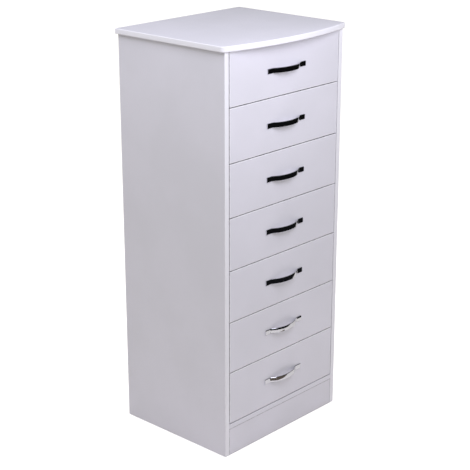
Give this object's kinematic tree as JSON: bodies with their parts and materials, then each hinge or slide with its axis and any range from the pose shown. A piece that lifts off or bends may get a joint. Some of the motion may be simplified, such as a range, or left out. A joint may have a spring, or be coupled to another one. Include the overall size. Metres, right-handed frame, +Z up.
{
  "type": "tall chest of drawers",
  "caption": "Tall narrow chest of drawers with a bow-fronted top, flat inset fronts and arched strap handles; every drawer slides on plastic strips in grooved sides.",
  "frame": {"origin": "middle of the overall footprint, on the floor", "axes": "+Z up, -Y towards the drawer fronts, +X to the chest's right as seen from the front"},
  "size_m": [0.516, 0.446, 1.2],
  "materials": {
    "white_foil_board": "particle board with satin white foil, faintly cool",
    "drawer_board": "particle board with matt white paper foil",
    "white_hardboard": "hardboard with matt white lacquer",
    "chrome_handle": "polished chrome plate",
    "runner_plastic": "moulded nylon, off-white",
    "glide_plastic": "moulded grey plastic",
    "zinc_fixings": "zinc-plated steel and die-cast zinc, with beech dowels among them"
  },
  "bodies": {
    "carcass": {"top_panel": "white_foil_board", "left_side_panel": "white_foil_board", "right_side_panel": "white_foil_board", "base_panel": "white_foil_board", "front_plinth": "white_foil_board", "back_panel": "white_hardboard", "top_front_rail": "white_foil_board", "top_back_rail": "white_foil_board", "runner_strips": "runner_plastic", "floor_glides": "glide_plastic", "carcass_fixings": "zinc_fixings"},
    "drawer_1": {"drawer_1_front": "white_foil_board", "drawer_1_left_side": "drawer_board", "drawer_1_right_side": "drawer_board", "drawer_1_back": "drawer_board", "drawer_1_bottom": "white_hardboard", "drawer_1_handle": "chrome_handle", "drawer_1_fixings": "zinc_fixings"},
    "drawer_2": {"drawer_2_front": "white_foil_board", "drawer_2_left_side": "drawer_board", "drawer_2_right_side": "drawer_board", "drawer_2_back": "drawer_board", "drawer_2_bottom": "white_hardboard", "drawer_2_handle": "chrome_handle", "drawer_2_fixings": "zinc_fixings"},
    "drawer_3": {"drawer_3_front": "white_foil_board", "drawer_3_left_side": "drawer_board", "drawer_3_right_side": "drawer_board", "drawer_3_back": "drawer_board", "drawer_3_bottom": "white_hardboard", "drawer_3_handle": "chrome_handle", "drawer_3_fixings": "zinc_fixings"},
    "drawer_4": {"drawer_4_front": "white_foil_board", "drawer_4_left_side": "drawer_board", "drawer_4_right_side": "drawer_board", "drawer_4_back": "drawer_board", "drawer_4_bottom": "white_hardboard", "drawer_4_handle": "chrome_handle", "drawer_4_fixings": "zinc_fixings"},
    "drawer_5": {"drawer_5_front": "white_foil_board", "drawer_5_left_side": "drawer_board", "drawer_5_right_side": "drawer_board", "drawer_5_back": "drawer_board", "drawer_5_bottom": "white_hardboard", "drawer_5_handle": "chrome_handle", "drawer_5_fixings": "zinc_fixings"},
    "drawer_6": {"drawer_6_front": "white_foil_board", "drawer_6_left_side": "drawer_board", "drawer_6_right_side": "drawer_board", "drawer_6_back": "drawer_board", "drawer_6_bottom": "white_hardboard", "drawer_6_handle": "chrome_handle", "drawer_6_fixings": "zinc_fixings"},
    "drawer_7": {"drawer_7_front": "white_foil_board", "drawer_7_left_side": "drawer_board", "drawer_7_right_side": "drawer_board", "drawer_7_back": "drawer_board", "drawer_7_bottom": "white_hardboard", "drawer_7_handle": "chrome_handle", "drawer_7_fixings": "zinc_fixings"}
  },
  "joints": [
    {"name": "drawer_1_slide", "type": "slide", "parent": "carcass", "child": "drawer_1", "axis": [0, -1, 0], "range_m": [0, 0.25]},
    {"name": "drawer_2_slide", "type": "slide", "parent": "carcass", "child": "drawer_2", "axis": [0, -1, 0], "range_m": [0, 0.25]},
    {"name": "drawer_3_slide", "type": "slide", "parent": "carcass", "child": "drawer_3", "axis": [0, -1, 0], "range_m": [0, 0.25]},
    {"name": "drawer_4_slide", "type": "slide", "parent": "carcass", "child": "drawer_4", "axis": [0, -1, 0], "range_m": [0, 0.25]},
    {"name": "drawer_5_slide", "type": "slide", "parent": "carcass", "child": "drawer_5", "axis": [0, -1, 0], "range_m": [0, 0.25]},
    {"name": "drawer_6_slide", "type": "slide", "parent": "carcass", "child": "drawer_6", "axis": [0, -1, 0], "range_m": [0, 0.25]},
    {"name": "drawer_7_slide", "type": "slide", "parent": "carcass", "child": "drawer_7", "axis": [0, -1, 0], "range_m": [0, 0.25]}
  ]
}
